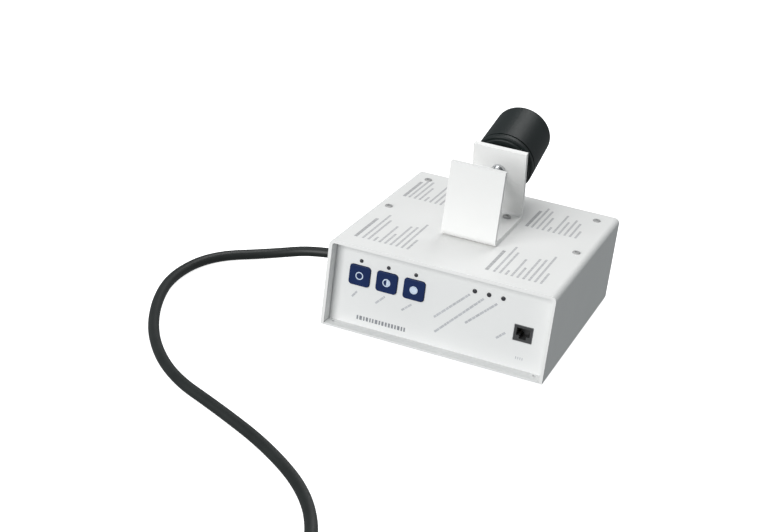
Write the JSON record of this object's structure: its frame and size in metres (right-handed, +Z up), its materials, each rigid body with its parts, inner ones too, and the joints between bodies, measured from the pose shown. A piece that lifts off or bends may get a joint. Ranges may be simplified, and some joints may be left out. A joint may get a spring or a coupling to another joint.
{
  "type": "medical light source with pole clamp",
  "caption": "White control box for a fibre light guide, with three push buttons, a data socket, a pole clamp on top and a coiled black light guide",
  "frame": {"origin": "On the surface the box stands on, under the middle of the case", "axes": "+Z up, -Y the front with the buttons, +X to the right seen from the front"},
  "size_m": [0.4305, 0.6812, 0.1753],
  "materials": {
    "base_steel": "satin",
    "black_metal": "matte",
    "black_nut": "satin",
    "black_plastic": "satin",
    "bracket_paint": "matte",
    "bush_brass": "satin",
    "button_plastic": "satin",
    "cable_sheath": "satin",
    "capacitor_sleeve": "satin",
    "chip_plastic": "matte",
    "circuit_board": "satin",
    "clear_glass": "polished",
    "clip_brass": "satin",
    "connector_white": "satin",
    "contact_gold": "satin",
    "core_iron": "matte",
    "cover_paint": "matte",
    "emitter_board_aluminium": "satin",
    "emitter_plastic": "gloss",
    "ferrule_steel": "satin",
    "foot_rubber": "matte",
    "fuse_glass": "polished",
    "guard_chrome": "polished",
    "indicator_dark": "gloss",
    "inlet_plastic": "satin",
    "jack_metal": "satin",
    "knob_cap_plastic": "matte",
    "knob_plastic": "satin",
    "pad_aluminium": "satin",
    "pad_rubber": "matte",
    "panel_paint": "matte",
    "pin_brass": "satin",
    "post_aluminium": "satin",
    "relief_rubber": "matte",
    "ring_steel": "satin",
    "rocker_plastic": "gloss",
    "screw_chrome": "polished",
    "screw_steel": "satin",
    "screw_thread_steel": "satin",
    "sink_aluminium": "satin",
    "sleeve_plastic": "satin",
    "socket_plastic": "satin",
    "spacer_brass": "satin",
    "switch_plastic": "satin",
    "turned_aluminium": "satin",
    "winding_tape": "satin"
  },
  "bodies": {
    "light_source": {"base_plate": "panel_paint", "board_connectors": "connector_white", "board_screws": "screw_steel", "board_spacers": "spacer_brass", "bracket_backing_plate": "base_steel", "bracket_bolts": "screw_chrome", "clamp_bracket": "bracket_paint", "clamp_bush": "bush_brass", "condenser_lens": "clear_glass", "control_board": "circuit_board", "control_board_chips": "chip_plastic", "cover_posts": "post_aluminium", "cover_screws": "screw_chrome", "data_jack_contacts": "contact_gold", "data_jack_housing": "socket_plastic", "data_jack_shield": "jack_metal", "emitter_board": "emitter_board_aluminium", "engine_heat_sink": "sink_aluminium", "fan_frame": "black_plastic", "fan_guard": "guard_chrome", "filter_capacitors": "capacitor_sleeve", "front_panel": "panel_paint", "fuse_clips": "clip_brass", "guide_end_ferrule": "ferrule_steel", "guide_end_sleeve": "sleeve_plastic", "guide_inlet_ferrule": "ferrule_steel", "indicator_lenses": "indicator_dark", "inlet_pins": "pin_brass", "lens_barrel": "black_metal", "light_emitter": "emitter_plastic", "light_guide_cable": "cable_sheath", "light_guide_coil": "cable_sheath", "light_port_bush": "turned_aluminium", "light_port_nut": "black_nut", "mains_fuse": "fuse_glass", "mains_inlet": "inlet_plastic", "panel_screws": "screw_steel", "power_board": "circuit_board", "power_heat_sink": "sink_aluminium", "power_switch_frame": "switch_plastic", "power_transistors": "chip_plastic", "rear_panel": "panel_paint", "rear_panel_screws": "screw_steel", "rubber_feet": "foot_rubber", "strain_relief": "relief_rubber", "tact_switches": "black_plastic", "top_cover": "cover_paint", "transformer_core": "core_iron", "transformer_winding": "winding_tape"},
    "off_button_body": {"button_off": "button_plastic"},
    "half_button_body": {"button_half": "button_plastic"},
    "full_button_body": {"button_full": "button_plastic"},
    "clamp_carriage": {"thrust_ring": "ring_steel"},
    "knob_and_screw": {"clamp_screw": "screw_thread_steel", "clamp_knob": "knob_plastic", "knob_cap": "knob_cap_plastic"},
    "pressure_pad": {"clamp_pad": "pad_aluminium", "pad_facing": "pad_rubber"},
    "fan_wheel": {"fan_rotor": "black_plastic"},
    "power_rocker_body": {"power_switch_rocker": "rocker_plastic"}
  },
  "joints": [
    {"name": "off_button_press", "type": "slide", "parent": "light_source", "child": "off_button_body", "axis": [0, 1, 0], "range_m": [0, 0.001], "stiffness_N_per_m": 2500, "springref_m": -0.0002},
    {"name": "half_button_press", "type": "slide", "parent": "light_source", "child": "half_button_body", "axis": [0, 1, 0], "range_m": [0, 0.001], "stiffness_N_per_m": 2500, "springref_m": -0.0002},
    {"name": "full_button_press", "type": "slide", "parent": "light_source", "child": "full_button_body", "axis": [0, 1, 0], "range_m": [0, 0.001], "stiffness_N_per_m": 2500, "springref_m": -0.0002},
    {"name": "clamp_travel", "type": "slide", "parent": "light_source", "child": "clamp_carriage", "axis": [0, 0.9613, 0.2756], "range_m": [-0.00351, 0.01801]},
    {"name": "knob_turn", "type": "hinge", "parent": "clamp_carriage", "child": "knob_and_screw", "pos_m": [0, 0.02961, 0.1315], "axis": [0, 0.9613, 0.2756], "range_deg": [-420, 2160]},
    {"name": "pad_tilt", "type": "hinge", "parent": "clamp_carriage", "child": "pressure_pad", "pos_m": [0, -0.00346, 0.12202], "axis": [1, 0, 0], "range_deg": [-16, 6]},
    {"name": "fan_spin", "type": "hinge", "parent": "light_source", "child": "fan_wheel", "pos_m": [0.042, 0.0885, 0.044], "axis": [0, 1, 0], "continuous": true},
    {"name": "power_rocker", "type": "hinge", "parent": "light_source", "child": "power_rocker_body", "pos_m": [-0.02, 0.095, 0.03], "axis": [1, 0, 0], "range_deg": [-18, 0]}
  ],
  "couplings": [
    {"joint": "clamp_travel", "follows": "knob_turn", "m_per_rad": 0.00047746}
  ]
}
